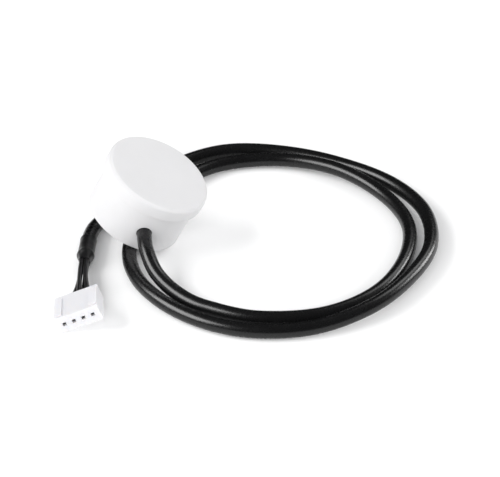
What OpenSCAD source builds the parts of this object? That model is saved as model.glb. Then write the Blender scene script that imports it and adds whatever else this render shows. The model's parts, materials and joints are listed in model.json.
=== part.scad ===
// Non-contact liquid level sensor: a round white housing on a black four-core lead with a plug.
// Millimetres. The housing lies tipped on its own lead. X points to the side that it leans to,
// Y points away from the viewer, Z is up, and the floor is Z = 0.
// Inside the housing, heights run along its own axis from the rear rim (0) to the sensing face.

/* [Housing] */
// Diameter of the sensing face and its flange
face_d = 28; // [27:0.5:34]
// Thickness of the flange behind the sensing face
flange_t = 3.8; // [3:0.1:6]
// Diameter of the barrel behind the flange
body_d = 25.6; // [25:0.1:26.4]
// Height of the barrel from the rear rim to the flange
body_h = 12.3; // [11.8:0.1:16]
// Thickness of the barrel wall
wall_t = 1.4; // [1.1:0.05:1.5]
// Thickness of the wall behind the sensing face
face_t = 1.2; // [0.8:0.1:1.6]
// Rounding of the sensing face's edge
face_edge_r = 0.9; // [0.4:0.1:1.4]
// Rounding of the rear rim
rim_edge_r = 0.4; // [0.2:0.05:0.5]
// Rounding of the flange's rear edge
flange_edge_r = 0.25; // [0.1:0.05:0.5]
// Lean of the housing as it lies on its lead
lean = 27.5; // [24:0.5:30]
// Direction of the lean, counted from X
lean_turn = -15; // [-20:1:-10]

/* [Rear cover] */
// Thickness of the rear cover
cover_t = 1.5; // [1.2:0.1:1.8]
// Depth of the cover below the rear rim
cover_inset = 0.3; // [0.1:0.05:0.5]
// Width of the shoulder that carries the cover
shoulder_w = 0.6; // [0.4:0.05:0.7]
// Thickness of the gasket under the cover
gasket_t = 0.5; // [0.3:0.1:0.8]
// Gap around the cover
cover_gap = 0.08; // [0.04:0.01:0.15]
// Diameter of the adjuster's access hole
access_d = 3.6; // [3:0.1:4]
// Outer diameter of the collar round the access hole
collar_d = 5.4; // [4.8:0.1:6]
// Diameter of the light pipe
pipe_d = 2.6; // [2:0.1:3]

/* [Electronics] */
// Gap between the main board and the housing's bore
board_gap = 0.2; // [0.1:0.05:0.5]
// Thickness of the main board
board_t = 1.2; // [0.8:0.1:1.6]
// Height of the board's rear side above the rear rim
board_z = 8.6; // [8.4:0.1:9]
// Gap between the sensing electrode and the ribs that carry the board
electrode_gap = 0.4; // [0.2:0.1:1]
// Thickness of the sensing electrode
electrode_t = 0.2; // [0.1:0.05:0.3]
// Side of the trimmer's square base
trimmer_w = 6.6; // [6.2:0.1:6.8]
// Height of the trimmer's base
trimmer_h = 3.4; // [3:0.1:3.8]
// Diameter of the trimmer's rotor
rotor_d = 4.6; // [4.2:0.1:5]
// Height that the rotor stands out of its base
rotor_proud = 0.5; // [0.2:0.1:0.8]
// Radial running clearance of the rotor
rotor_gap = 0.05; // [0.03:0.01:0.08]
// Diameter of the indicator lamp's body
lamp_d = 3; // [2.6:0.1:3.2]
// Length of the indicator lamp, from the board to its tip
lamp_h = 5.3; // [4.6:0.1:5.4]

/* [Lead] */
// Diameter of the lead's sheath
cord_d = 3.8; // [3.4:0.1:3.8]
// Height of the lead's hole above the rear rim
exit_h = 5.6; // [5.4:0.1:5.8]
// Direction of the lead's hole round the housing, counted from the lean
exit_turn = -69; // [-75:1:-63]
// Diameter of the seal in the lead's hole
seal_d = 4.4; // [4.3:0.1:4.8]
// Diameter of each core
core_d = 1.3; // [1.1:0.05:1.3]
// Outer diameter of the shrink sleeve
sleeve_d = 4.3; // [4.2:0.1:4.4]
// Length of the shrink sleeve
sleeve_len = 10.5; // [9:0.5:11]

/* [Plug] */
// Pitch of the contacts
pitch = 2.5; // [2.4:0.05:2.6]
// Width of the plug
plug_w = 11.3; // [11:0.1:13]
// Thickness of the plug without its ribs
plug_t = 4.3; // [4:0.1:5]
// Length of the plug
plug_len = 9.6; // [9:0.1:11]
// Width of the keying ribs
rib_w = 2; // [1.4:0.1:2.2]
// Height of the keying ribs
rib_h = 0.4; // [0.3:0.05:0.8]
// Roll of the plug as it lies
plug_roll = 21; // [19:1:24]
// Turn of the plug as it lies
plug_turn = 3; // [0:1:6]

/* [Hidden] */

// Housing
body_r = body_d / 2;
face_r = face_d / 2;
total_h = body_h + flange_t;
bore_r = body_r - wall_t;
shoulder_z = cover_inset + cover_t + gasket_t;
shoulder_r = bore_r + shoulder_w;
face_in_z = total_h - face_t;
ledge_z = board_z + board_t;
ledge_n = 6;
ledge_w = 1.2;
ledge_in = 1.5;
draft_step = 0.15;
draft_h = 1;
fine = 128;

// Rear cover
lip_h = 0.5;
lip_w = 1;
collar_h = 1.4;
access_step = 0.5;
pry_turn = 100;
pry_w = 2.4;
pry_h = 0.7;
pipe_flange_t = 0.7;
pipe_flange_w = 0.5;

// Electronics
board_r = bore_r - board_gap;
electrode_r = bore_r - ledge_in - electrode_gap;
spring_turns = [150, 210];
spring_at = electrode_r - 1.1;
spring_foot_r = 0.8;
spring_r = 0.45;
board_notch_turn = 80;
board_notch = [0.6, 1.6];
chip_lift = 0.1;
controller = [9.9, 3.9, 1.6];
small_capacitor = [1, 2, 1];
large_capacitor = [1.25, 2, 1];
controller_gap = 0.625;
controller_at = [board_r - 3.6 - large_capacitor[0] / 2 - controller_gap - controller[0] / 2, 0.6];
regulator_at = [2.4, -5.4];
transistor_at = [-2.6, -5.6];
diode_at = [0.8, 6.2];
small_capacitors_at = [[-5.6, 5.2], [-3.6, 5.2]];
large_capacitors_at = [for (y = [-2.6, 3.4]) [board_r - 3.6, y]];
upper_resistors_at = [for (inset = [5.6, 4.2]) [board_r - inset, 6]];
lower_resistors_at = [for (x = [-4.2, -2.8, -1.4, 0]) [x, 2.8 - board_r]];
lamp_rim_w = 0.4;
lamp_rim_t = 1;

// Places on the rear side
adjust_at = [-4.3, 4.1];
lamp_at = [5.2, 3.4];
rotor_r = rotor_d / 2;
rotor_h = 2;
rotor_stem_r = 0.8;
rotor_stem_h = 0.9;
seat_gap = 0.1;
slot_w = 0.7;
slot_h = 0.9;

// Lead
cord_r = cord_d / 2;
core_r = core_d / 2;
seal_gap = 0.08;
seal_fit = 0.02;
seal_lip = 0.35;
seal_lip_t = 1.1;
seal_lip_back = 1.5;
seal_sunk = 0.4;
tie_w = 1.5;
tie_t = 0.6;
tie_back = 3.4;
tie_head = [2.2, 1.5];
cord_inside = bore_r - 5.4;
sleeve_gap = 0.08;
sleeve_over = 7;
sleeve_bulge = 0.2;
sleeve_lip = 0.45;
core_gap = 0.02;
joint_gap = 0.04;
wire_straight = 0.4;

// The lead's route on the floor, after its hole: round points chosen by hand
cord_run = [
  [0.2, -17.6, 7], [3, -24.4, 4.5], [8.4, -30.6, 2.6], [15.5, -35.6, 1.9], [28.5, -40.4, 1.9],
  [45, -38.6, 1.9], [58.5, -28.7, 1.9], [66.5, -13, 1.9], [68.2, 4, 1.9], [62, 19.2, 2.3],
  [50, 31, 3.1], [34.5, 37.4, 2.3], [18, 35, 1.9], [6, 23.5, 2.2], [-0.6, 7.5, 2.6],
  [-4.8, -9, 2.3], [-1.2, -24.6, 1.9], [9.5, -38, 1.9], [24.5, -45.5, 1.9], [41.5, -45, 2.1],
  [56.5, -37, 3], [67.2, -23.2, 3], [73.4, -8, 3], [72.8, 9, 3], [65, 24, 2.5],
  [52, 35.3, 1.9], [36, 42, 1.9], [19.5, 42.8, 1.9], [5.5, 34.3, 1.9], [-4.6, 20, 1.9],
  [-11.6, 7.6, 1.9], [-14.5, 1.4, 2.2], [-15.6, -5, 2.4], [-15.9, -12, 2.4]
];
rings_per_step = 2;
cord_sides = 8;

// Plug
plug_x = -15.6;
plug_y = -44.2;
plug_n = 4;
cavity_w = 1.8;
cavity_t = 2.2;
cavity_front = 1;
window_w = 1.2;
mouth_w = 1;
latch_window_y = 3;
latch_window_len = 1.6;
rib_start = 0.8;
rib_back = 1.4;
box_w = 1.5;
box_t = 1.7;
box_len = 3.6;
box_bore = 1;
tongue_w = 1.1;
tongue_t = 0.35;
crimp_r = 0.85;
crimp_gap = 0.03;
crimp_len = 2.4;
crimp_y = 5.6;
crimp_floor = 0.3;
core_grip = 1.8;
core_rings = 12;
core_lead = 4;
fan_at = [-15.8, -31.2, 4];
fan_roll = 15;
fan_pitch = core_d + 3 * core_gap;
fan_rings = 5;

// Maths of the two seats
function leaned(p) = [
  p[0] * cos(lean) + p[2] * sin(lean),
  p[1],
  p[2] * cos(lean) - p[0] * sin(lean)
];
function turned(p, a) = [p[0] * cos(a) - p[1] * sin(a), p[0] * sin(a) + p[1] * cos(a), p[2]];
function tipped(p) = turned(leaned(p), lean_turn);
function span(a) = let (s = sqrt(1 - a * a)) [
  min(
    rim_edge_r * a - (body_r - rim_edge_r) * s - rim_edge_r,
    body_h * a - face_r * s,
    (total_h - face_edge_r) * a - (face_r - face_edge_r) * s - face_edge_r
  ),
  max(
    rim_edge_r * a + (body_r - rim_edge_r) * s + rim_edge_r,
    body_h * a + face_r * s,
    (total_h - face_edge_r) * a + (face_r - face_edge_r) * s + face_edge_r
  )
];
axis_dir = tipped([0, 0, 1]);
seat_at = [
  -(span(axis_dir[0])[0] + span(axis_dir[0])[1]) / 2,
  -(span(axis_dir[1])[0] + span(axis_dir[1])[1]) / 2,
  -span(axis_dir[2])[0]
];
function placed(p) = seat_at + tipped(p);
function on_exit(d) = placed([d * cos(exit_turn), d * sin(exit_turn), exit_h]);

plug_z = plug_t / 2 * cos(plug_roll) + plug_w / 2 * sin(plug_roll);
function rolled(p) = [
  p[0] * cos(plug_roll) - p[2] * sin(plug_roll),
  p[1],
  p[0] * sin(plug_roll) + p[2] * cos(plug_roll)
];
function in_plug(p) = [plug_x, plug_y, plug_z] + turned(rolled(p), plug_turn);
function contact_x(i) = (i - (plug_n - 1) / 2) * pitch;

// Curves and sweeps
function through(a, b, c, d, t) = 0.5 * (
  2 * b + (c - a) * t + (2 * a - 5 * b + 4 * c - d) * t * t + (3 * b - a - 3 * c + d) * t * t * t
);
function above_floor(p) = [p[0], p[1], max(p[2], cord_r)];
function smooth(p, n) = let (
  q = concat([2 * p[0] - p[1]], p, [2 * p[len(p) - 1] - p[len(p) - 2]])
) concat(
  [for (i = [1:len(p) - 1], j = [0:n - 1]) above_floor(through(q[i - 1], q[i], q[i + 1], q[i + 2], j / n))],
  [p[len(p) - 1]]
);
function bezier(a, b, c, d, t) =
  a * pow(1 - t, 3) + b * 3 * t * pow(1 - t, 2) + c * 3 * t * t * (1 - t) + d * pow(t, 3);
function unit(v) = v / norm(v);
function along(p, i) = unit(p[min(i + 1, len(p) - 1)] - p[max(i - 1, 0)]);
function level(t) = unit(cross(t, abs(t[2]) > 0.9 ? [1, 0, 0] : [0, 0, 1]));
function ring(c, t, r, sides) = let (u = level(t), v = cross(u, t)) [
  for (k = [0:sides - 1]) let (a = 360 * (k + 0.5) / sides) c + r * (cos(a) * u + sin(a) * v)
];

module sweep(path, r, sides) {
  n = len(path);
  points = [for (i = [0:n - 1]) each ring(path[i], along(path, i), r, sides)];
  sleeve = [
    for (i = [0:n - 2], k = [0:sides - 1]) let (a = i * sides, k2 = (k + 1) % sides)
      [a + k, a + k2, a + sides + k2, a + sides + k]
  ];
  first = [for (k = [0:sides - 1]) sides - 1 - k];
  last = [for (k = [0:sides - 1]) (n - 1) * sides + k];
  polyhedron(points, concat([first], sleeve, [last]), convexity = 10);
}

module seat() {
  translate(seat_at) rotate([0, 0, lean_turn]) rotate([0, lean, 0]) children();
}

module exit_seat() {
  seat() rotate([0, 0, exit_turn]) translate([0, 0, exit_h]) rotate([0, 90, 0]) children();
}

module plug_seat() {
  translate([plug_x, plug_y, plug_z]) rotate([0, 0, plug_turn]) rotate([0, -plug_roll, 0]) children();
}

// Seat of a piece on the board's front side
module on_board(at) {
  seat() translate([at[0], at[1], ledge_z]) children();
}

// Block standing on the board, centred on its place
module chip(at, size) {
  on_board(at) translate([-size[0] / 2, -size[1] / 2, 0]) cube(size);
}

// Block lifted off the board on its legs
module package(size) {
  translate([-size[0] / 2, -size[1] / 2, chip_lift]) cube(size);
}

// Profile of the housing's outside, from the axis at the rear to the axis at the face
module outer_profile() {
  difference() {
    union() {
      square([body_r, body_h + 0.5]);
      translate([0, body_h]) square([face_r, flange_t]);
    }
    edge_cut(body_r, 0, rim_edge_r, 1);
    edge_cut(face_r, total_h, face_edge_r, -1);
    edge_cut(face_r, body_h, flange_edge_r, 1);
  }
}

// Cuts a round edge at radius x and height y, towards the solid above (1) or below (-1)
module edge_cut(x, y, r, side) {
  translate([x, y]) scale([1, side]) difference() {
    translate([-r, -1]) square([r + 1, r + 1]);
    translate([-r, r]) circle(r, $fn = 48);
  }
}

module inner_profile() {
  translate([0, -1]) square([shoulder_r, shoulder_z + 1]);
  square([bore_r, ledge_z + draft_h]);
  square([bore_r - draft_step, face_in_z]);
}

module housing() {
  color([0.93, 0.93, 0.94]) seat() {
    difference() {
      rotate_extrude($fn = fine) outer_profile();
      rotate_extrude($fn = fine) inner_profile();
      rotate([0, 0, exit_turn]) translate([0, 0, exit_h]) rotate([0, 90, 0])
        cylinder(h = face_r + 2, r = seal_d / 2, $fn = 48);
    }
    for (i = [0:ledge_n - 1]) rotate([0, 0, exit_turn + 30 + 360 / ledge_n * i])
      translate([bore_r - ledge_in, -ledge_w / 2, ledge_z])
        cube([ledge_in + wall_t / 2, ledge_w, face_in_z - ledge_z + face_t / 2]);
  }
}

module rear_cover() {
  cover_r = shoulder_r - cover_gap;
  color([0.91, 0.91, 0.92]) seat() difference() {
    union() {
      translate([0, 0, cover_inset]) cylinder(h = cover_t, r = cover_r, $fn = fine);
      translate([0, 0, cover_inset + cover_t]) difference() {
        cylinder(h = gasket_t + lip_h, r = bore_r - cover_gap, $fn = fine);
        translate([0, 0, -1]) cylinder(h = gasket_t + lip_h + 2, r = bore_r - cover_gap - lip_w, $fn = fine);
      }
      translate([adjust_at[0], adjust_at[1], cover_inset])
        cylinder(h = cover_t + collar_h, r = collar_d / 2, $fn = 48);
    }
    translate([adjust_at[0], adjust_at[1], -1]) cylinder(h = total_h, r = access_d / 2, $fn = 48);
    translate([adjust_at[0], adjust_at[1], cover_inset - 1])
      cylinder(h = 1 + access_step, r = access_d / 2 + access_step, $fn = 48);
    translate([lamp_at[0], lamp_at[1], -1]) cylinder(h = total_h, r = pipe_d / 2, $fn = 48);
    rotate([0, 0, pry_turn]) translate([shoulder_r - 1, -pry_w / 2, cover_inset - 1])
      cube([2, pry_w, 1 + pry_h]);
  }
}

module cover_gasket() {
  color([0.15, 0.15, 0.16]) seat() translate([0, 0, cover_inset + cover_t]) difference() {
    cylinder(h = gasket_t, r = shoulder_r - cover_gap, $fn = fine);
    translate([0, 0, -1]) cylinder(h = gasket_t + 2, r = bore_r, $fn = fine);
  }
}

module light_pipe() {
  color([0.9, 0.9, 0.85, 0.6]) seat() translate([lamp_at[0], lamp_at[1], cover_inset]) {
    cylinder(h = cover_t + pipe_flange_t / 2, r = pipe_d / 2, $fn = 48);
    translate([0, 0, cover_t]) cylinder(h = pipe_flange_t, r = pipe_d / 2 + pipe_flange_w, $fn = 48);
  }
}

module sensing_electrode() {
  color([0.8, 0.5, 0.3]) seat() translate([0, 0, face_in_z - electrode_t])
    cylinder(h = electrode_t, r = electrode_r, $fn = 96);
}

module contact_springs() {
  spring_h = face_in_z - electrode_t - ledge_z;
  color([0.85, 0.75, 0.4]) seat() for (a = spring_turns) rotate([0, 0, a])
    translate([spring_at, 0, ledge_z]) {
      cylinder(h = spring_h / 2, r = spring_foot_r, $fn = 32);
      cylinder(h = spring_h, r = spring_r, $fn = 32);
    }
}

module main_board() {
  color([0.1, 0.4, 0.2]) seat() translate([0, 0, board_z]) difference() {
    cylinder(h = board_t, r = board_r, $fn = 96);
    rotate([0, 0, board_notch_turn]) translate([board_r - board_notch[0], -board_notch[1] / 2, -1])
      cube([2, board_notch[1], board_t + 2]);
  }
}

// One bent leg: a foot on the board and a shank up along the package
module gull_leg(at, side, leg_w) {
  foot_l = 1;
  foot_t = 0.2;
  foot_in = 0.25;
  shank_h = 0.8;
  shank_in = 0.45;
  translate([at[0] - leg_w / 2, at[1], 0]) scale([1, side, 1]) {
    translate([0, -foot_in, 0]) cube([leg_w, foot_l, foot_t]);
    translate([0, -shank_in, 0]) cube([leg_w, foot_t, shank_h]);
  }
}

// One flat leg under the package's edge
module flat_leg(at, size) {
  translate([at[0] - size[0] / 2, at[1] - size[1] / 2, 0]) cube(size);
}

module microcontroller() {
  legs = 8;
  leg_pitch = 1.27;
  leg_w = 0.4;
  leg_out = 0.45;
  color([0.12, 0.12, 0.13]) on_board(controller_at) {
    package(controller);
    for (i = [0:legs - 1], side = [-1, 1])
      gull_leg([(i - (legs - 1) / 2) * leg_pitch, side * (controller[1] / 2 + leg_out)], side, leg_w);
  }
}

module voltage_regulator() {
  body = [4.5, 2.5, 1.5];
  tab = [1.8, 1.2, 0.4];
  color([0.13, 0.13, 0.14]) on_board(regulator_at) {
    package(body);
    for (x = [-1.5, 0, 1.5]) flat_leg([x, -1.6], [0.5, 1.2, 0.4]);
    flat_leg([0, 1.6], tab);
  }
}

module output_transistor() {
  body = [2.9, 1.3, 1];
  leg = [0.4, 0.8, 0.3];
  color([0.13, 0.13, 0.14]) on_board(transistor_at) {
    package(body);
    for (x = [-0.95, 0.95]) flat_leg([x, -0.8], leg);
    flat_leg([0, 0.8], leg);
  }
}

module protection_diode() {
  body = [4.4, 2.6, 2];
  leg = [0.7, 1.5, 0.9];
  color([0.14, 0.14, 0.15]) on_board(diode_at) {
    package(body);
    for (side = [-1, 1]) flat_leg([side * 2.25, 0], leg);
  }
}

module chip_capacitors() {
  color([0.72, 0.6, 0.45]) {
    for (at = small_capacitors_at) chip(at, small_capacitor);
    for (at = large_capacitors_at) chip(at, large_capacitor);
  }
}

module chip_resistors() {
  body = [0.85, 1.6, 0.5];
  color([0.1, 0.1, 0.11]) for (at = concat(upper_resistors_at, lower_resistors_at)) chip(at, body);
}

module indicator_lamp() {
  color([0.85, 0.2, 0.15, 0.8]) seat() translate([lamp_at[0], lamp_at[1], board_z - lamp_h]) {
    translate([0, 0, lamp_d / 2]) cylinder(h = lamp_h - lamp_d / 2, r = lamp_d / 2, $fn = 48);
    translate([0, 0, lamp_d / 2]) sphere(r = lamp_d / 2, $fn = 48);
    translate([0, 0, lamp_h - lamp_rim_t]) cylinder(h = lamp_rim_t, r = lamp_d / 2 + lamp_rim_w, $fn = 48);
  }
}

module trimmer_base() {
  top_z = board_z - trimmer_h;
  rotor_z = top_z - rotor_proud;
  color([0.15, 0.3, 0.65]) seat() translate([adjust_at[0], adjust_at[1], 0]) rotate([0, 0, 45]) difference() {
    translate([-trimmer_w / 2, -trimmer_w / 2, top_z]) cube([trimmer_w, trimmer_w, trimmer_h]);
    translate([0, 0, top_z - 1])
      cylinder(h = 1 + rotor_h - rotor_proud + seat_gap, r = rotor_r + rotor_gap, $fn = 64);
    translate([0, 0, rotor_z + rotor_h])
      cylinder(h = rotor_stem_h + seat_gap, r = rotor_stem_r + rotor_gap, $fn = 48);
  }
}

module trimmer_rotor() {
  rotor_z = board_z - trimmer_h - rotor_proud;
  color([0.95, 0.95, 0.93]) seat() translate([adjust_at[0], adjust_at[1], rotor_z]) difference() {
    union() {
      cylinder(h = rotor_h, r = rotor_r, $fn = 64);
      translate([0, 0, rotor_h - 0.1]) cylinder(h = rotor_stem_h + 0.1, r = rotor_stem_r, $fn = 48);
    }
    for (a = [0, 90]) rotate([0, 0, a]) translate([-rotor_r * 0.75, -slot_w / 2, -1])
      cube([rotor_r * 1.5, slot_w, slot_h + 1]);
  }
}

module lead_seal() {
  color([0.08, 0.08, 0.09]) exit_seat() difference() {
    union() {
      translate([0, 0, bore_r - seal_lip_t])
        cylinder(h = wall_t + seal_lip_t - seal_sunk, r = seal_d / 2 - seal_fit, $fn = 48);
      translate([0, 0, bore_r - seal_lip_back])
        cylinder(h = seal_lip_t, r = seal_d / 2 + seal_lip, $fn = 48);
    }
    translate([0, 0, bore_r - wall_t * 2]) cylinder(h = wall_t * 4, r = cord_r + seal_gap, $fn = 48);
  }
}

module lead_tie() {
  color([0.9, 0.9, 0.88]) exit_seat() translate([0, 0, bore_r - tie_back]) difference() {
    union() {
      cylinder(h = tie_w, r = cord_r + tie_t, $fn = 48);
      translate([-tie_head[0] / 2, -cord_r - tie_head[1] + 0.2, 0]) cube([tie_head[0], tie_head[1], tie_w]);
    }
    translate([0, 0, -1]) cylinder(h = tie_w + 2, r = cord_r + seal_gap, $fn = 48);
  }
}

// Path of one core from the lead's cut end to its pad on the board, in the housing's own seat
function board_wire(i) = let (
  side = i % 2 == 0 ? -1 : 1,
  low = i < 2,
  spread = core_r + core_gap,
  start = [cord_inside - joint_gap, side * spread, exit_h + (low ? -spread : spread)],
  pad = [low ? 0.6 : 2.6, side * (low ? 2.7 : 1.1), board_z - joint_gap],
  a = start - [wire_straight, 0, 0],
  b = pad - [0, 0, wire_straight]
) concat(
  [start],
  [for (k = [0:8]) bezier(a, a - [1.8, 0, 0], b - [0, 0, low ? 2.2 : 0.8], b, k / 8)],
  [pad]
);

module board_wires() {
  color([0.1, 0.1, 0.1]) seat() rotate([0, 0, exit_turn]) for (i = [0:3])
    sweep(board_wire(i), core_r - 3 * core_gap, 8);
}

cord_path = smooth(concat([on_exit(cord_inside), on_exit(body_r)], cord_run), rings_per_step);

module sensor_lead() {
  color([0.06, 0.06, 0.06]) sweep(cord_path, cord_r, cord_sides);
}

// The sleeve runs on from the lead's last stretch
cord_end = cord_run[len(cord_run) - 1];
sleeve_dir = unit(cord_end - cord_run[len(cord_run) - 2]);
sleeve_turn = atan2(sleeve_dir[1], sleeve_dir[0]);
function on_sleeve(p) = cord_end + turned(p, sleeve_turn);

module shrink_sleeve() {
  outside = sleeve_d / 2;
  inside = cord_r + sleeve_gap;
  color([0.09, 0.09, 0.1]) translate(cord_end) rotate([0, 0, sleeve_turn]) rotate([0, 90, 0])
    translate([0, 0, -sleeve_over]) rotate_extrude($fn = 48) polygon([
      [inside, 0], [outside - 0.1, 0], [outside, 0.4], [outside, sleeve_len - 4],
      [outside + sleeve_bulge * 0.7, sleeve_len - 3], [outside + sleeve_bulge, sleeve_len - 2.2],
      [outside + sleeve_bulge * 0.5, sleeve_len - 1.3], [outside - sleeve_lip * 0.3, sleeve_len - 0.5],
      [outside - sleeve_lip, sleeve_len], [inside - 0.3, sleeve_len],
      [inside - 0.3, sleeve_len - 0.8], [inside, sleeve_len - 1.6]
    ]);
}

// Sides of one core in the bunch: left or right, and upper or lower
function core_side(i) = i < 2 ? -1 : 1;
function core_level(i) = i % 2 == 0 ? -1 : 1;

// Place of one core from the sleeve (0), where they lie two by two, to the fan (1), where they lie in a row
function bunched(i, t) = let (
  turn = 90 * pow(t, 3),
  from = on_sleeve([sleeve_len - sleeve_over + wire_straight, 0, 0]),
  middle = bezier(from, from + sleeve_dir * core_lead, fan_at + [0, core_lead, 0], fan_at, t),
  across = [cos(fan_roll * t), 0, sin(fan_roll * t)],
  over = [-sin(fan_roll * t), 0, cos(fan_roll * t)],
  centre = core_side(i) * (1 + sin(turn)),
  half = core_level(i) * fan_pitch / 2
) middle + across * (centre * fan_pitch / 2 + half * sin(turn)) + over * half * cos(turn);

// Path of one core from the lead's cut end to its terminal
function core_path(i) = let (
  fan = bunched(i, 1),
  heading = unit(fan - bunched(i, 1 - 1 / core_rings)),
  mouth = in_plug([contact_x(i), plug_len + 0.6, 0]),
  pull = norm(mouth - fan) / 3
) concat(
  [on_sleeve([joint_gap, core_side(i) * fan_pitch / 2, core_level(i) * fan_pitch / 2])],
  [for (k = [0:core_rings - 1]) bunched(i, k / core_rings)],
  [for (k = [0:fan_rings]) bezier(
    fan, fan + heading * pull, in_plug([contact_x(i), plug_len + 0.6 + pull, 0]), mouth, k / fan_rings
  )],
  [in_plug([contact_x(i), crimp_y + crimp_len - core_grip, 0])]
);

module core_wire(i) {
  color([0.07, 0.07, 0.07]) sweep(core_path(i), core_r, 8);
}

module core_wire_1() { core_wire(0); }
module core_wire_2() { core_wire(1); }
module core_wire_3() { core_wire(2); }
module core_wire_4() { core_wire(3); }

module plug_housing() {
  color([0.95, 0.95, 0.96]) plug_seat() difference() {
    union() {
      translate([-plug_w / 2, 0, -plug_t / 2]) cube([plug_w, plug_len, plug_t]);
      for (side = [-1, 1]) translate([side * (plug_w - rib_w) / 2 - rib_w / 2, rib_start, 0])
        cube([rib_w, plug_len - rib_start - rib_back, plug_t / 2 + rib_h]);
    }
    for (i = [0:plug_n - 1]) translate([contact_x(i), 0, 0]) {
      translate([-cavity_w / 2, cavity_front, -cavity_t / 2]) cube([cavity_w, plug_len, cavity_t]);
      translate([-mouth_w / 2, -1, -mouth_w / 2]) cube([mouth_w, plug_len, mouth_w]);
      translate([-window_w / 2, latch_window_y, -plug_t]) cube([window_w, latch_window_len, plug_t]);
    }
  }
}

module terminal(i) {
  color([0.85, 0.84, 0.8]) plug_seat() translate([contact_x(i), 0, 0]) {
    difference() {
      translate([-box_w / 2, cavity_front + joint_gap, -box_t / 2]) cube([box_w, box_len, box_t]);
      translate([-box_bore / 2, 0, -box_bore / 2]) cube([box_bore, box_len + 0.4, box_bore]);
    }
    translate([-tongue_w / 2, cavity_front + box_len - 0.2, -box_t / 2])
      cube([tongue_w, crimp_y - cavity_front - box_len + 0.4, tongue_t]);
    translate([0, crimp_y, 0]) rotate([-90, 0, 0]) difference() {
      cylinder(h = crimp_len, r = crimp_r, $fn = 32);
      translate([0, 0, crimp_floor]) cylinder(h = crimp_len, r = core_r + crimp_gap, $fn = 32);
    }
  }
}

module terminal_1() { terminal(0); }
module terminal_2() { terminal(1); }
module terminal_3() { terminal(2); }
module terminal_4() { terminal(3); }

housing();
rear_cover();
cover_gasket();
light_pipe();
sensing_electrode();
contact_springs();
main_board();
microcontroller();
voltage_regulator();
output_transistor();
protection_diode();
chip_capacitors();
chip_resistors();
indicator_lamp();
trimmer_base();
trimmer_rotor();
lead_seal();
lead_tie();
board_wires();
sensor_lead();
shrink_sleeve();
core_wire_1();
core_wire_2();
core_wire_3();
core_wire_4();
plug_housing();
terminal_1();
terminal_2();
terminal_3();
terminal_4();
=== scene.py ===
import json
import math

import bmesh
import bpy
from mathutils import Matrix, Vector, noise


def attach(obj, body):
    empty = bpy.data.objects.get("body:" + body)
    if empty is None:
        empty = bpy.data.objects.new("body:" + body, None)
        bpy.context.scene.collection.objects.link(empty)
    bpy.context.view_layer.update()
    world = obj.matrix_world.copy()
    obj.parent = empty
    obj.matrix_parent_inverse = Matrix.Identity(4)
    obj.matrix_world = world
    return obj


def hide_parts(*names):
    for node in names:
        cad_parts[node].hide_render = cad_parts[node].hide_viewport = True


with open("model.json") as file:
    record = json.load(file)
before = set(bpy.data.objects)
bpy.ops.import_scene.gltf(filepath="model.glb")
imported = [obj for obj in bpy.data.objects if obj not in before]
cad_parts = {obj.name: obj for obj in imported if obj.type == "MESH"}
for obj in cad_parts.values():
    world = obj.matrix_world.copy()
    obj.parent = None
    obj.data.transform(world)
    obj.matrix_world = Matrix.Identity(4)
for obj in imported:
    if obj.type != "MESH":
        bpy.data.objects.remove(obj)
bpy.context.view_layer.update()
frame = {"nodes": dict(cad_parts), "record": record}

MM = 0.001

# Sizes of the part's source, in millimetres and degrees. Heights in the housing run along its own
# axis, from the rear rim (0) to the sensing face.
FACE_R = 14.0
FACE_T = 1.2
FLANGE_T = 3.8
BODY_R = 12.8
BODY_H = 12.3
TOTAL_H = BODY_H + FLANGE_T
WALL_T = 1.4
BORE_R = BODY_R - WALL_T
BORE_STEP = 0.15
BORE_STEP_Z = 10.8
FACE_EDGE_R = 0.9
RIM_EDGE_R = 0.4
FLANGE_EDGE_R = 0.25
LEAN = 27.5
LEAN_TURN = -15.0
COVER_INSET = 0.3
COVER_T = 1.5
GASKET_T = 0.5
SHOULDER_W = 0.6
SHOULDER_R = BORE_R + SHOULDER_W
SHOULDER_Z = COVER_INSET + COVER_T + GASKET_T
EXIT_H = 5.6
EXIT_TURN = -69.0
SEAL_R = 2.2
CORD_R = 1.9
CORD_INSIDE = 6.0
CORE_COUNT = 4
CORE_R = 0.65
CORE_GAP = 0.02
CORE_FREE = 0.4
CORE_LEAD = 4.0
CORE_STRAIGHT = 0.6
CORE_GRIP = 1.8
JOINT_GAP = 0.04
FAN_ROLL = 15.0
SLEEVE_R = 2.15
SLEEVE_LEN = 10.5
SLEEVE_OVER = 7.0
SLEEVE_END = SLEEVE_LEN - SLEEVE_OVER
PITCH = 2.5
CRIMP_END = 8.0
PLUG_W = 11.3
PLUG_T = 4.3
PLUG_LEN = 9.6
PLUG_ROLL = 21.0
PLUG_TURN = 3.0
PLUG_AT = (-15.6, -44.2)

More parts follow.
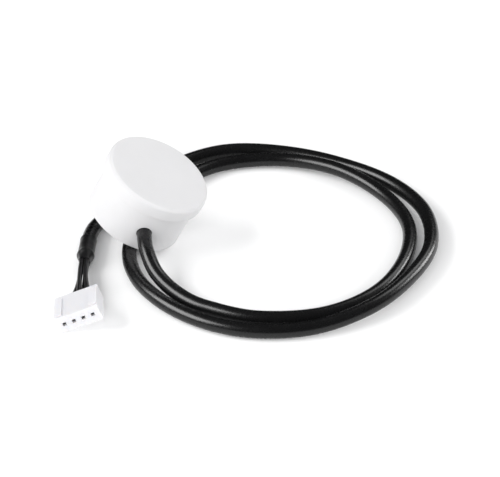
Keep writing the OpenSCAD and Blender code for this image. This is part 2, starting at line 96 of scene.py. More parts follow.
# The lead's route on the floor, after its hole, as in the part's source
CORD_RUN = [
    (0.2, -17.6, 7.0), (3.0, -24.4, 4.5), (8.4, -30.6, 2.6), (15.5, -35.6, 1.9), (28.5, -40.4, 1.9),
    (45.0, -38.6, 1.9), (58.5, -28.7, 1.9), (66.5, -13.0, 1.9), (68.2, 4.0, 1.9), (62.0, 19.2, 2.3),
    (50.0, 31.0, 3.1), (34.5, 37.4, 2.3), (18.0, 35.0, 1.9), (6.0, 23.5, 2.2), (-0.6, 7.5, 2.6),
    (-4.8, -9.0, 2.3), (-1.2, -24.6, 1.9), (9.5, -38.0, 1.9), (24.5, -45.5, 1.9), (41.5, -45.0, 2.1),
    (56.5, -37.0, 3.0), (67.2, -23.2, 3.0), (73.4, -8.0, 3.0), (72.8, 9.0, 3.0), (65.0, 24.0, 2.5),
    (52.0, 35.3, 1.9), (36.0, 42.0, 1.9), (19.5, 42.8, 1.9), (5.5, 34.3, 1.9), (-4.6, 20.0, 1.9),
    (-11.6, 7.6, 1.9), (-14.5, 1.4, 2.2), (-15.6, -5.0, 2.4), (-15.9, -12.0, 2.4),
]

# Sizes of the replaced pieces as shown, in millimetres apart from shares and counts.
# The cores lie pressed together, a little thinner than their solids, and fan out a little later.
CORE_SKIN_R = 0.62
FAN_PITCH = 1.25
FAN_AT = (-15.8, -32.6, 3.9)

# The cores turn into a row with this power of their way, and nest by this share of half their pitch
FAN_EASE = 2.5
FAN_NEST = 0.18

# The barrel narrows a little towards the flange and meets it in a small fillet
BARREL_DRAFT = 0.05
FILLET_R = 0.12
RIM_CHAMFER = 0.1

# The mouth of the lead's hole closes round the lead in front of the seal, and is chamfered
HOLE_R = 2.02
SEAL_DEPTH = 0.36
CHAMFER_W = 0.1
CHAMFER_INSIDE = 0.08
CHAMFER_OUTSIDE = 0.05
CUTTER_INSIDE = 5
CUTTER_OUTSIDE = 2

# The sleeve's skin is faintly wrinkled over the sheath, and lies a little inside its nominal radius
SKIN_SUNK = 0.03
SKIN_WRINKLE = 0.05
WRINKLES_ROUND = 1.6
WRINKLES_ALONG = 0.7

# The sleeve's first edge is rolled and drops off at its very end
ROLL_H = 0.07
ROLL_AT = 0.25
ROLL_W = 0.22
DROP_H = 0.12
DROP_W = 0.18

# The sleeve bulges over the sheath's end and is then drawn in over the cores
BULGE_H = 0.17
BULGE_AT = 0.4
BULGE_W = 0.8
SKIN_T = 0.1
BUNDLE_WRINKLE = 0.04
BUNDLE_WRINKLES_ROUND = 2
DRAWN_FROM = 0.5
DRAWN_TO = SLEEVE_END - 0.2

# Lips at the sleeve's two edges: the share of the radius that they reach, and how far they go in
LIP_GAP = 0.02
FIRST_LIP_SHARE = (CORD_R + LIP_GAP) / SLEEVE_R
FIRST_LIP_IN = 0.5
LAST_LIP_SHARE = 0.72
LAST_LIP_IN = 1.2

# Fineness of the curves and the meshes
CORD_STEPS = 12
BUNCH_STEPS = 32
FAN_STEPS = 12
LEAD_RESOLUTION = 10
CORE_RESOLUTION = 8
HOUSING_SEGMENTS = 256
HOLE_SEGMENTS = 96
SLEEVE_SIDES = 64
SLEEVE_STEPS = 84
ON_AXIS = 1e-6


# Places


def turned(p, degrees):
    return Matrix.Rotation(math.radians(degrees), 3, "Z") @ Vector(p)


def tipped(p):
    """A point or direction of the housing, leaned and turned as the housing lies."""
    return turned(Matrix.Rotation(math.radians(LEAN), 3, "Y") @ Vector(p), LEAN_TURN)


def span(a):
    """Lowest and highest reach of the housing along a direction; a is its cosine with the axis."""
    s = math.sqrt(1 - a * a)
    rim = (BODY_R - RIM_EDGE_R) * s + RIM_EDGE_R
    edge = (FACE_R - FACE_EDGE_R) * s + FACE_EDGE_R
    low = min(RIM_EDGE_R * a - rim, BODY_H * a - FACE_R * s, (TOTAL_H - FACE_EDGE_R) * a - edge)
    high = max(RIM_EDGE_R * a + rim, BODY_H * a + FACE_R * s, (TOTAL_H - FACE_EDGE_R) * a + edge)
    return low, high


def seat_place():
    """Place of the rear rim's centre that sets the tipped housing on the floor, over the origin."""
    x, y, z = (span(a) for a in tipped((0, 0, 1)))
    return Vector((-(x[0] + x[1]) / 2, -(y[0] + y[1]) / 2, -z[0]))


SEAT_AT = seat_place()
SEAT = (
    Matrix.Scale(MM, 4)
    @ Matrix.Translation(SEAT_AT)
    @ Matrix.Rotation(math.radians(LEAN_TURN), 4, "Z")
    @ Matrix.Rotation(math.radians(LEAN), 4, "Y")
)
EXIT_SEAT = (
    SEAT
    @ Matrix.Rotation(math.radians(EXIT_TURN), 4, "Z")
    @ Matrix.Translation((0, 0, EXIT_H))
    @ Matrix.Rotation(math.radians(90), 4, "Y")
)


def on_exit(d):
    """A point on the axis of the lead's hole, d from the housing's axis, in the row frame."""
    return SEAT_AT + tipped(turned((d, 0, EXIT_H), EXIT_TURN))


PLUG_Z = PLUG_T / 2 * math.cos(math.radians(PLUG_ROLL)) + PLUG_W / 2 * math.sin(math.radians(PLUG_ROLL))
PLUG_SEAT = (
    Matrix.Translation((PLUG_AT[0], PLUG_AT[1], PLUG_Z))
    @ Matrix.Rotation(math.radians(PLUG_TURN), 4, "Z")
    @ Matrix.Rotation(math.radians(-PLUG_ROLL), 4, "Y")
)


def in_plug(i, d):
    """A point on the axis of contact i, d from the plug's front end, in the row frame."""
    return PLUG_SEAT @ Vector(((i - (CORE_COUNT - 1) / 2) * PITCH, d, 0))


# Curves


def through(a, b, c, d, t):
    """A point between b and c on the smooth curve through a, b, c and d."""
    return 0.5 * (
        2 * b + (c - a) * t + (2 * a - 5 * b + 4 * c - d) * t * t + (3 * b - a - 3 * c + d) * t * t * t
    )


def smooth(points, steps):
    """The smooth curve through the points, with the lead's axis at least its radius above the floor."""
    p = [Vector(q) for q in points]
    q = [2 * p[0] - p[1], *p, 2 * p[-1] - p[-2]]
    out = []
    for i in range(1, len(p)):
        for j in range(steps):
            v = through(q[i - 1], q[i], q[i + 1], q[i + 2], j / steps)
            out.append(Vector((v.x, v.y, max(v.z, CORD_R))))
    out.append(p[-1])
    return out


def bezier(a, b, c, d, t):
    return a * (1 - t) ** 3 + b * 3 * t * (1 - t) ** 2 + c * 3 * t * t * (1 - t) + d * t**3


CORD_PATH = smooth([on_exit(CORD_INSIDE), on_exit(BODY_R), *CORD_RUN], CORD_STEPS)
CORD_END = Vector(CORD_RUN[-1])
SLEEVE_DIR = (CORD_END - Vector(CORD_RUN[-2])).normalized()
SLEEVE_SIDE = Vector((-SLEEVE_DIR.y, SLEEVE_DIR.x, 0))
UP = Vector((0, 0, 1))


def on_sleeve(along, side, up):
    """A point counted from the lead's cut end: along the sleeve, across it and up."""
    return CORD_END + SLEEVE_DIR * along + SLEEVE_SIDE * side + UP * up


def core_seat(i):
    """Side and level of core i in the bunch, each -1 or 1."""
    return (-1 if i < 2 else 1), (1 if i % 2 else -1)


def bunched(i, t):
    """Place of one core from the sleeve (0), where they lie two by two, to the fan (1), where they
    lie in a row. They turn late, and nest into each other on the way."""
    side, level = core_seat(i)
    turn = math.radians(90 * t**FAN_EASE)
    roll = math.radians(FAN_ROLL * t)
    start, fan = on_sleeve(SLEEVE_END + CORE_FREE, 0, 0), Vector(FAN_AT)
    middle = bezier(start, start + SLEEVE_DIR * CORE_LEAD, fan + Vector((0, CORE_LEAD, 0)), fan, t)
    across = Vector((math.cos(roll), 0, math.sin(roll)))
    over = Vector((-math.sin(roll), 0, math.cos(roll)))
    half = FAN_PITCH / 2
    nested = 1 - FAN_NEST * math.sin(2 * turn)
    shift = side * (nested + math.sin(turn)) + level * math.sin(turn)
    return middle + across * half * shift + over * half * level * math.cos(turn)


def core_path(i):
    """Path of one core from the lead's cut end, through the bunch and the fan, to its terminal."""
    side, level = core_seat(i)
    half = FAN_PITCH / 2
    fan = bunched(i, 1)
    heading = (fan - bunched(i, 1 - 1 / FAN_STEPS)).normalized()
    mouth = in_plug(i, PLUG_LEN + CORE_STRAIGHT)
    pull = (mouth - fan).length / 3
    pinch = in_plug(i, PLUG_LEN + CORE_STRAIGHT + pull)
    run = [bunched(i, k / BUNCH_STEPS) for k in range(BUNCH_STEPS)]
    run += [bezier(fan, fan + heading * pull, pinch, mouth, k / FAN_STEPS) for k in range(FAN_STEPS + 1)]
    grip = in_plug(i, CRIMP_END - CORE_GRIP)
    return [on_sleeve(JOINT_GAP, side * half, level * half), *run, grip]


# Materials. The noises' scales count per metre, and the bumps' depths are in millimetres.
# Most of a noise's values lie between these two.
NOISE_LOW = 0.3
NOISE_HIGH = 0.7


def tinted(base, share):
    return tuple(min(1.0, c * share) for c in base)


class Nodes:
    """A material's node tree, with short calls for the nodes that the finishes share."""

    def __init__(self, name):
        self.material = bpy.data.materials.new(name)
        self.material.use_nodes = True
        self.tree = self.material.node_tree
        self.shader = self.tree.nodes["Principled BSDF"]
        self.place = self.tree.nodes.new("ShaderNodeTexCoord").outputs["Object"]

    def set(self, **values):
        for key, value in values.items():
            self.shader.inputs[key.replace("_", " ")].default_value = value

    def link(self, a, b):
        self.tree.links.new(a, b)

    def stretch(self, scale):
        node = self.tree.nodes.new("ShaderNodeMapping")
        node.inputs["Scale"].default_value = scale
        self.link(self.place, node.inputs["Vector"])
        return node.outputs["Vector"]

    def noise(self, scale, detail, rough=0.5, place=None):
        node = self.tree.nodes.new("ShaderNodeTexNoise")
        node.inputs["Scale"].default_value = scale
        node.inputs["Detail"].default_value = detail
        node.inputs["Roughness"].default_value = rough
        self.link(place or self.place, node.inputs["Vector"])
        return node.outputs["Fac"]

    def span(self, value, low, high, start=NOISE_LOW, end=NOISE_HIGH):
        """From low to high as the value runs from its start to its end."""
        node = self.tree.nodes.new("ShaderNodeMapRange")
        node.inputs["From Min"].default_value = start
        node.inputs["From Max"].default_value = end
        node.inputs["To Min"].default_value = low
        node.inputs["To Max"].default_value = high
        self.link(value, node.inputs["Value"])
        return node.outputs["Result"]

    def tint(self, value, base, low, high):
        """The base colour times a share, which runs from low to high with a noise's value."""
        node = self.tree.nodes.new("ShaderNodeValToRGB")
        ends = ((NOISE_LOW, low), (NOISE_HIGH, high))
        for element, (place, share) in zip(node.color_ramp.elements, ends):
            element.position = place
            element.color = (*tinted(base, share), 1)
        self.link(value, node.inputs["Fac"])
        return node.outputs["Color"]

    def bump(self, value, depth, strength, under=None):
        node = self.tree.nodes.new("ShaderNodeBump")
        node.inputs["Distance"].default_value = depth * MM
        node.inputs["Strength"].default_value = strength
        self.link(value, node.inputs["Height"])
        if under is not None:
            self.link(under, node.inputs["Normal"])
        return node.outputs["Normal"]

    def finish(self, colour, rough=None, normal=None):
        for value, key in ((colour, "Base Color"), (rough, "Roughness"), (normal, "Normal")):
            if value is not None:
                self.link(value, self.shader.inputs[key])
        return self.material


def moulded(name, base, rough, spread, grain, clouds, waves, soft=0.0, soft_mm=1.0, gloss=0.5):
    """Moulded plastic or rubber: faint clouds in its colour, a fine spark-eroded grain and long
    shallow waves."""
    n = Nodes(name)
    n.set(Specular_IOR_Level=gloss, Subsurface_Weight=soft, Subsurface_Scale=soft_mm * MM)
    n.shader.inputs["Subsurface Radius"].default_value = (1.0, 0.9, 0.8)
    cloud = n.noise(scale=140, detail=3)
    colour = n.tint(cloud, base, low=1 - clouds, high=1 + clouds)
    patchy = n.noise(scale=420, detail=5, rough=0.6)
    fine = n.noise(scale=5200, detail=3, rough=0.6)
    long_wave = n.noise(scale=90, detail=2, rough=0.4)
    wavy = n.bump(long_wave, depth=waves, strength=0.6)
    normal = n.bump(fine, depth=grain, strength=0.8, under=wavy)
    return n.finish(colour, n.span(patchy, rough - spread, rough + spread), normal)


def metal(name, base, rough, spread):
    """Plated or rolled metal with fine drawn marks."""
    n = Nodes(name)
    n.set(Metallic=1.0)
    drawn = n.noise(scale=1.0, detail=5, rough=0.6, place=n.stretch((900, 900, 120)))
    tarnish = n.noise(scale=260, detail=4)
    colour = n.tint(tarnish, base, low=0.86, high=1.0)
    patchy = n.span(drawn, rough - spread, rough + spread)
    return n.finish(colour, patchy, n.bump(drawn, depth=0.006, strength=0.5))


def board_finish(name, base):
    """Resist over glass-epoxy: a faint weave, with copper as slightly raised and paler straight bands."""
    n = Nodes(name)
    n.set(Coat_Weight=0.4, Coat_Roughness=0.2)
    copper = n.tree.nodes.new("ShaderNodeTexBrick")
    sizes_mm = {"Brick Width": 3.4, "Row Height": 0.85, "Mortar Size": 0.11, "Mortar Smooth": 0.1}
    for key, value in {"Scale": 1 / MM, **sizes_mm}.items():
        copper.inputs[key].default_value = value
    for key, share in (("Color1", 1.7), ("Color2", 1.5), ("Mortar", 1.0)):
        copper.inputs[key].default_value = (*tinted(base, share), 1)
    n.link(n.place, copper.inputs["Vector"])
    weave = n.noise(scale=2400, detail=2)
    bands = n.span(copper.outputs["Fac"], low=1, high=0, start=0, end=1)
    rough = n.span(weave, low=0.28, high=0.4)
    raised = n.bump(bands, depth=0.03, strength=0.5)
    return n.finish(copper.outputs["Color"], rough, n.bump(weave, depth=0.01, strength=0.5, under=raised))


def clear(name, base, rough):
    """Tinted clear plastic with faint flow marks."""
    n = Nodes(name)
    n.set(Transmission_Weight=0.85, IOR=1.49)
    flow = n.noise(scale=500, detail=3)
    colour = n.tint(flow, base, low=0.92, high=1.0)
    return n.finish(colour, n.span(flow, rough, rough + 0.1), n.bump(flow, depth=0.01, strength=0.4))


def sheath(name, base, rough, spread, waves, ripple):
    """Extruded soft sheath: a soft sheen with slow drifts, shallow waves and a fine skin."""
    n = Nodes(name)
    n.set(Specular_IOR_Level=0.35)
    drift = n.noise(scale=70, detail=3)
    smear = n.noise(scale=700, detail=4, rough=0.6)
    fine = n.noise(scale=4200, detail=2)
    colour = n.tint(drift, base, low=0.85, high=1.2)
    wavy = n.bump(drift, depth=waves, strength=0.7)
    normal = n.bump(fine, depth=ripple, strength=0.6, under=wavy)
    return n.finish(colour, n.span(smear, rough - spread, rough + spread), normal)


FINISHES = {
    "white_housing": (moulded, dict(
        base=(0.712, 0.709, 0.716), rough=0.42, spread=0.05, grain=0.005, clouds=0.012, waves=0.02,
        soft=0.08, soft_mm=1.2, gloss=0.35)),
    "white_cover": (moulded, dict(
        base=(0.73, 0.73, 0.742), rough=0.45, spread=0.05, grain=0.006, clouds=0.015, waves=0.02,
        soft=0.08, soft_mm=1.2)),
    "black_gasket": (moulded, dict(
        base=(0.02, 0.02, 0.022), rough=0.62, spread=0.08, grain=0.012, clouds=0.1, waves=0.02)),
    "clear_pipe": (clear, dict(base=(0.93, 0.93, 0.9), rough=0.12)),
    "copper_foil": (metal, dict(base=(0.78, 0.42, 0.26), rough=0.3, spread=0.08)),
    "plated_spring": (metal, dict(base=(0.86, 0.66, 0.3), rough=0.24, spread=0.06)),
    "green_board": (board_finish, dict(base=(0.012, 0.1, 0.035))),
    "black_package": (moulded, dict(
        base=(0.02, 0.02, 0.022), rough=0.5, spread=0.08, grain=0.01, clouds=0.15, waves=0.01)),
    "tan_ceramic": (moulded, dict(
        base=(0.42, 0.29, 0.18), rough=0.45, spread=0.08, grain=0.01, clouds=0.08, waves=0.01)),
    "black_ceramic": (moulded, dict(
        base=(0.02, 0.02, 0.02), rough=0.25, spread=0.08, grain=0.008, clouds=0.1, waves=0.01)),
    "red_lamp": (clear, dict(base=(0.75, 0.05, 0.03), rough=0.12)),
    "blue_trimmer": (moulded, dict(
        base=(0.02, 0.09, 0.4), rough=0.3, spread=0.06, grain=0.008, clouds=0.05, waves=0.01)),
    "white_rotor": (moulded, dict(
        base=(0.78, 0.77, 0.72), rough=0.4, spread=0.06, grain=0.008, clouds=0.03, waves=0.01,
        soft=0.1)),
    "black_seal": (moulded, dict(
        base=(0.014, 0.014, 0.015), rough=0.55, spread=0.08, grain=0.012, clouds=0.1, waves=0.02)),
    "natural_tie": (moulded, dict(
        base=(0.7, 0.67, 0.58), rough=0.4, spread=0.06, grain=0.008, clouds=0.03, waves=0.01,
        soft=0.2)),
    "black_core": (sheath, dict(
        base=(0.008, 0.008, 0.0085), rough=0.36, spread=0.06, waves=0.02, ripple=0.004)),
    "black_sheath": (sheath, dict(
        base=(0.006, 0.006, 0.0063), rough=0.27, spread=0.03, waves=0.03, ripple=0.002)),
    "black_sleeve": (sheath, dict(
        base=(0.008, 0.008, 0.0085), rough=0.34, spread=0.08, waves=0.05, ripple=0.008)),
    "white_plug": (moulded, dict(
        base=(0.715, 0.712, 0.733), rough=0.36, spread=0.06, grain=0.006, clouds=0.012, waves=0.015,
        soft=0.6, soft_mm=1.5)),
    "tinned_terminal": (metal, dict(base=(0.66, 0.65, 0.62), rough=0.3, spread=0.08)),
}
materials = {name: make(name, **values) for name, (make, values) in FINISHES.items()}

# CAD pieces whose edges are rounded, with the widths in millimetres
SOFTENED = {
    "rear_cover": 0.12, "plug_housing": 0.14, "light_pipe": 0.08, "trimmer_base": 0.12, "trimmer_rotor": 0.06,
    "microcontroller": 0.05, "voltage_regulator": 0.05, "output_transistor": 0.04, "protection_diode": 0.06,
    "chip_capacitors": 0.06, "chip_resistors": 0.04, "main_board": 0.04, "lead_seal": 0.06, "lead_tie": 0.1,
    "cover_gasket": 0.06,
}
SOFTENED_ABOVE = 35
node_slot = {s["node"]: s["material_slot"] for s in frame["record"]["subparts"]}
for node, obj in frame["nodes"].items():
    obj.data.materials.clear()
    obj.data.materials.append(materials[node_slot[node]])
    if node in SOFTENED:
        bevel = obj.modifiers.new("edges", "BEVEL")
        bevel.width = SOFTENED[node] * MM
        bevel.segments = 3
        bevel.limit_method = "ANGLE"
        bevel.angle_limit = math.radians(SOFTENED_ABOVE)
        bevel.harden_normals = True


# Camera at the photograph's angle, with its distance and clipping in metres
CAMERA_ELEVATION = 32.0
CAMERA_DISTANCE = 0.6
LOOK_AT = Vector((26.5, -0.2, 0)) * MM
FOCAL_PIXELS = 2280.0
FRAME_PIXELS = 500.0
SENSOR_WIDTH = 36.0
CLIP_START = 0.01
CLIP_END = 20
tilt = math.radians(CAMERA_ELEVATION)
camera_data = bpy.data.cameras.new("camera")
camera_data.sensor_width = SENSOR_WIDTH
camera_data.sensor_fit = "HORIZONTAL"
camera_data.lens = SENSOR_WIDTH * FOCAL_PIXELS / FRAME_PIXELS
camera_data.clip_start = CLIP_START
camera_data.clip_end = CLIP_END
camera = bpy.data.objects.new("camera", camera_data)
camera.location = LOOK_AT + CAMERA_DISTANCE * Vector((0, -math.cos(tilt), math.sin(tilt)))
camera.rotation_euler = (math.pi / 2 - tilt, 0, 0)
bpy.context.collection.objects.link(camera)
bpy.context.scene.camera = camera


# Pieces


def finish_piece(obj, slot, replaced):
    """Gives a piece the material of its slot, hangs it on the sensor's body and hides the nodes that it
    replaces.
    """
    obj.data.materials.append(materials[slot])
    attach(obj, "sensor")
    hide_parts(*replaced)
    return obj


def tube(name, path, radius, slot, replaced, resolution):
    """A round tube along a path in millimetres, as a curve of one open spline."""
    data = bpy.data.curves.new(name, "CURVE")
    data.dimensions = "3D"
    data.bevel_depth = radius * MM
    data.bevel_resolution = resolution
    data.use_fill_caps = True
    data.twist_mode = "MINIMUM"
    line = data.splines.new("POLY")
    line.points.add(len(path) - 1)
    for point, place in zip(line.points, path):
        point.co = (*(place * MM), 1)
    line.use_smooth = True
    obj = bpy.data.objects.new(name, data)
    bpy.context.collection.objects.link(obj)
    return finish_piece(obj, slot, replaced)


def mesh_object(name, bm):
    bmesh.ops.recalc_face_normals(bm, faces=bm.faces)
    data = bpy.data.meshes.new(name)
    bm.to_mesh(data)
    bm.free()
    obj = bpy.data.objects.new(name, data)
    bpy.context.collection.objects.link(obj)
    return obj


def smooth_by_angle(obj, degrees):
    """Shades the mesh smooth, apart from edges sharper than the angle."""
    for polygon in obj.data.polygons:
        polygon.use_smooth = True
    obj.data.set_sharp_from_angle(angle=math.radians(degrees))


def revolved(profile, segments, place):
    """A profile of (radius, height) points turned about the local Z axis and set in the row frame.
    Its last point joins its first, unless both lie on the axis."""
    bm = bmesh.new()
    rings = []
    for r, z in profile:
        if r < ON_AXIS:
            rings.append([bm.verts.new(place @ Vector((0, 0, z)))])
            continue
        turn = [2 * math.pi * k / segments for k in range(segments)]
        rings.append([bm.verts.new(place @ Vector((r * math.cos(a), r * math.sin(a), z))) for a in turn])
    for low, high in zip(rings, rings[1:] + rings[:1]):
        for k in range(segments):
            n = (k + 1) % segments
            corners = [low[k % len(low)], low[n % len(low)], high[n % len(high)], high[k % len(high)]]
            kept = [c for j, c in enumerate(corners) if c not in corners[:j]]
            if len(kept) > 2:
                bm.faces.new(kept)
    return bm


def arc(cx, cz, r, start, end, steps=8):
    """Points of an arc in a profile, with the angles in degrees from the radius axis."""
    turns = [math.radians(start + (end - start) * k / steps) for k in range(steps + 1)]
    return [(cx + r * math.cos(a), cz + r * math.sin(a)) for a in turns]


def straight(a, b, steps):
    """Points that split a straight stretch of a profile evenly, without its two ends."""
    return [(a[0] + (b[0] - a[0]) * k / steps, a[1] + (b[1] - a[1]) * k / steps) for k in range(1, steps)]


def cut(obj, cutter):
    """Cuts one mesh with another, and removes the cutter."""
    modifier = obj.modifiers.new("cut", "BOOLEAN")
    modifier.operation = "DIFFERENCE"
    modifier.solver = "EXACT"
    modifier.object = cutter
    dg = bpy.context.evaluated_depsgraph_get()
    data = bpy.data.meshes.new_from_object(obj.evaluated_get(dg))
    obj.modifiers.clear()
    obj.data = data
    bpy.data.objects.remove(cutter)


lead = tube("lead_sheath", CORD_PATH, CORD_R, "black_sheath", ["sensor_lead"], LEAD_RESOLUTION)
cores = [
    tube("core_%d" % (i + 1), core_path(i), CORE_SKIN_R, "black_core", ["core_wire_%d" % (i + 1)],
         CORE_RESOLUTION)
    for i in range(CORE_COUNT)
]


def bundle_radius(turn):
    """Distance from the axis to the skin drawn tight over the four cores: flat from core to core,
    and round over each core."""
    offset = CORE_R + CORE_GAP
    a = abs((math.degrees(turn) + 45) % 90 - 45)
    flat = (offset + CORE_R) / math.cos(math.radians(a))
    if flat * math.sin(math.radians(a)) <= offset:
        return flat
    reach = offset * math.sqrt(2)
    off = math.radians(45 - a)
    return reach * math.cos(off) + math.sqrt(max(CORE_R**2 - (reach * math.sin(off)) ** 2, 0))


def mix(a, b, t):
    """From a to b as t runs from 0 to 1, with a soft start and a soft end."""
    t = min(1.0, max(0.0, t))
    t = t * t * (3 - 2 * t)
    return a + (b - a) * t


def swell(x, middle, width):
    """A smooth hump of height 1 round its middle."""
    return math.exp(-((x - middle) / width) ** 2)


def sleeve_radius(s, turn):
    """Radius of the sleeve, s past the sheath's end and at an angle about its axis."""
    round_axis = Vector((math.cos(turn), math.sin(turn), 0))
    x, y = round_axis.x * WRINKLES_ROUND, round_axis.y * WRINKLES_ROUND
    jacket = SLEEVE_R - SKIN_SUNK + SKIN_WRINKLE * noise.noise(Vector((x, y, s * WRINKLES_ALONG)))
    start = s + SLEEVE_OVER
    jacket += ROLL_H * swell(start, ROLL_AT, ROLL_W) - DROP_H * max(0.0, 1 - start / DROP_W)
    bulge = BULGE_H * swell(s, BULGE_AT, BULGE_W)
    x, y = round_axis.x * BUNDLE_WRINKLES_ROUND, round_axis.y * BUNDLE_WRINKLES_ROUND
    bundle = bundle_radius(turn) + SKIN_T + BUNDLE_WRINKLE * noise.noise(Vector((x, y, s)))
    return mix(jacket + bulge, bundle, (s - DRAWN_FROM) / (DRAWN_TO - DRAWN_FROM))


def sleeve_lip(bm, edge, s, share, step):
    """Two rings that take one edge of the sleeve inwards: one nearer the axis, and one a step along."""
    centre = on_sleeve(s, 0, 0) * MM
    lip = [bm.verts.new(centre + (v.co - centre) * share) for v in edge]
    return lip, [bm.verts.new(v.co + SLEEVE_DIR * (step * MM)) for v in lip]


def shrink_sleeve():
    """Shrunk tube: a rolled first edge, faint wrinkles where it gripped the sheath, a bulge over the
    sheath's end, then drawn in over the cores."""
    bm = bmesh.new()
    rings = []
    stations = [-SLEEVE_OVER + k * SLEEVE_LEN / SLEEVE_STEPS for k in range(SLEEVE_STEPS + 1)]
    for s in stations:
        ring = []
        for k in range(SLEEVE_SIDES):
            turn = 2 * math.pi * k / SLEEVE_SIDES
            r = sleeve_radius(s, turn)
            ring.append(bm.verts.new(on_sleeve(s, r * math.cos(turn), r * math.sin(turn)) * MM))
        rings.append(ring)
    lip, deep = sleeve_lip(bm, rings[0], stations[0], FIRST_LIP_SHARE, FIRST_LIP_IN)
    rings = [deep, lip, *rings]
    lip, deep = sleeve_lip(bm, rings[-1], stations[-1], LAST_LIP_SHARE, -LAST_LIP_IN)
    rings = [*rings, lip, deep]
    for low, high in zip(rings, rings[1:]):
        for k in range(SLEEVE_SIDES):
            n = (k + 1) % SLEEVE_SIDES
            bm.faces.new((low[k], low[n], high[n], high[k]))
    obj = mesh_object("shrink_tube", bm)
    smooth_by_angle(obj, degrees=50)
    return finish_piece(obj, "black_sleeve", ["shrink_sleeve"])


sleeve = shrink_sleeve()


def housing_shell():
    """The moulded cup: a dead-flat face, a rounded edge, a short flange and a barrel, open at the rear."""
    barrel_end_r = BODY_R - BARREL_DRAFT
    fillet_end_r = barrel_end_r + FILLET_R
    outside = [
        *arc(BODY_R - RIM_EDGE_R, RIM_EDGE_R, RIM_EDGE_R, -90, 0),
        *straight((BODY_R, RIM_EDGE_R), (barrel_end_r, BODY_H - FILLET_R), steps=12),
        *arc(fillet_end_r, BODY_H - FILLET_R, FILLET_R, 180, 90, steps=4),
        *straight((fillet_end_r, BODY_H), (FACE_R - FLANGE_EDGE_R, BODY_H), steps=3),
        *arc(FACE_R - FLANGE_EDGE_R, BODY_H + FLANGE_EDGE_R, FLANGE_EDGE_R, -90, 0),
        *straight((FACE_R, BODY_H + FLANGE_EDGE_R), (FACE_R, TOTAL_H - FACE_EDGE_R), steps=4),
        *arc(FACE_R - FACE_EDGE_R, TOTAL_H - FACE_EDGE_R, FACE_EDGE_R, 0, 90, steps=12),
        *straight((FACE_R - FACE_EDGE_R, TOTAL_H), (0, TOTAL_H), steps=8),
        (0, TOTAL_H),
    ]
    inside = [
        (0, TOTAL_H - FACE_T),
        (BORE_R - BORE_STEP, TOTAL_H - FACE_T),
        (BORE_R - BORE_STEP, BORE_STEP_Z),
        (BORE_R, BORE_STEP_Z),
        (BORE_R, SHOULDER_Z),
        (SHOULDER_R, SHOULDER_Z),
        (SHOULDER_R, RIM_CHAMFER),
        (SHOULDER_R + RIM_CHAMFER, 0),
    ]
    obj = mesh_object("housing_cup", revolved(outside + inside, HOUSING_SEGMENTS, SEAT))
    seal_front = BODY_R - SEAL_DEPTH
    bore = [
        (0, BODY_R - CUTTER_INSIDE),
        (SEAL_R, BODY_R - CUTTER_INSIDE),
        (SEAL_R, seal_front),
        (HOLE_R, seal_front),
        (HOLE_R, BODY_R - CHAMFER_INSIDE),
        (HOLE_R + CHAMFER_W, BODY_R + CHAMFER_OUTSIDE),
        (HOLE_R + CHAMFER_W, BODY_R + CUTTER_OUTSIDE),
        (0, BODY_R + CUTTER_OUTSIDE),
    ]
    cut(obj, mesh_object("hole", revolved(bore, HOLE_SEGMENTS, EXIT_SEAT)))
    smooth_by_angle(obj, degrees=32)
    finish_piece(obj, "white_housing", ["housing"])


housing_shell()


# Floor and light, with lengths in metres and powers in watts
FLOOR_WHITE = (0.97, 0.97, 0.97)
FLOOR_ROUGH = 0.9
FLOOR_HALF = 4
LIT_POINT = Vector((0.02, 0, 0.005))
SKY_COLOUR = (0.985, 0.99, 1, 1)
SKY_STRENGTH = 0.5


def floor_finish(name):
    """Matt white with a barely visible grain."""
    n = Nodes(name)
    n.set(Roughness=FLOOR_ROUGH)
    grain = n.noise(scale=900, detail=3)
    return n.finish(n.tint(grain, FLOOR_WHITE, low=0.995, high=1.0))


floor_mesh = bmesh.new()
bmesh.ops.create_grid(floor_mesh, x_segments=8, y_segments=8, size=FLOOR_HALF)
floor = mesh_object("floor", floor_mesh)
floor.data.materials.append(floor_finish("floor"))


def receivers(name, pieces, link_state="INCLUDE"):
    """A collection that tells a light which pieces it reaches, or which it leaves out."""
    group = bpy.data.collections.new(name)
    for piece in pieces:
        group.objects.link(piece)
        group.collection_objects[-1].light_linking.link_state = link_state
    return group


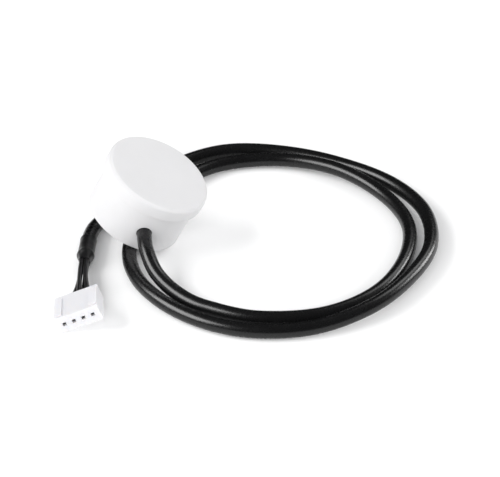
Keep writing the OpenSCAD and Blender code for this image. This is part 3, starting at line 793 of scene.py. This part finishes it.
def softbox(name, place, size, power, reaches, sheen=False):
    """A soft light aimed at the object. It fills the matt surfaces, or gives only the sheen."""
    data = bpy.data.lights.new(name, "AREA")
    data.shape = "RECTANGLE"
    data.size, data.size_y = size
    data.energy = power
    obj = bpy.data.objects.new(name, data)
    obj.location = place
    obj.rotation_euler = (LIT_POINT - Vector(place)).to_track_quat("-Z", "Y").to_euler()
    obj.visible_diffuse = not sheen
    obj.visible_glossy = sheen
    obj.light_linking.receiver_collection = reaches
    bpy.context.collection.objects.link(obj)


# The pieces and the floor have their own boxes, and three more give only the black pieces a sheen
on_pieces = receivers("on_pieces", [floor], "EXCLUDE")
on_floor = receivers("on_floor", [floor])
on_black = receivers("on_black", [lead, sleeve, *cores])
LEFT = dict(place=(-0.65, -0.03, 0.5), size=(0.75, 0.4))
FRONT = dict(place=(-0.1, -0.95, 0.35), size=(1.0, 0.4))
RIGHT = dict(place=(0.95, -0.15, 0.3), size=(0.8, 0.4))
softbox("left", **LEFT, power=1.6, reaches=on_pieces)
softbox("left_front", place=(-0.5, -0.55, 0.45), size=(0.5, 0.4), power=3.8, reaches=on_pieces)
softbox("front", **FRONT, power=0.7, reaches=on_pieces)
softbox("right", **RIGHT, power=1.75, reaches=on_pieces)
softbox("right_high", place=(0.65, -0.1, 0.7), size=(0.8, 0.4), power=2.95, reaches=on_pieces)
softbox("back", place=(0.1, 0.65, 0.75), size=(1.0, 0.4), power=2.0, reaches=on_pieces)
softbox("floor_left", **LEFT, power=5.7, reaches=on_floor)
softbox("floor_front", **FRONT, power=9.2, reaches=on_floor)
softbox("floor_right", **RIGHT, power=6.8, reaches=on_floor)
for name, place, size, power in (
    ("left_sheen", (-0.64, -0.14, 0.49), (0.75, 0.5), 13.5),
    ("right_sheen", (0.79, 0.45, 0.3), (0.35, 0.3), 4.2),
    ("right_high_sheen", (0.43, 0.56, 0.61), (0.35, 0.3), 1.2),
):
    softbox(name, place, size, power, reaches=on_black, sheen=True)

world = bpy.data.worlds.new("studio")
world.use_nodes = True
world.node_tree.nodes["Background"].inputs["Color"].default_value = SKY_COLOUR
world.node_tree.nodes["Background"].inputs["Strength"].default_value = SKY_STRENGTH
bpy.context.scene.world = world
world.cycles_visibility.glossy = False
bpy.context.scene.view_settings.view_transform = "Standard"

bpy.context.view_layer.update()
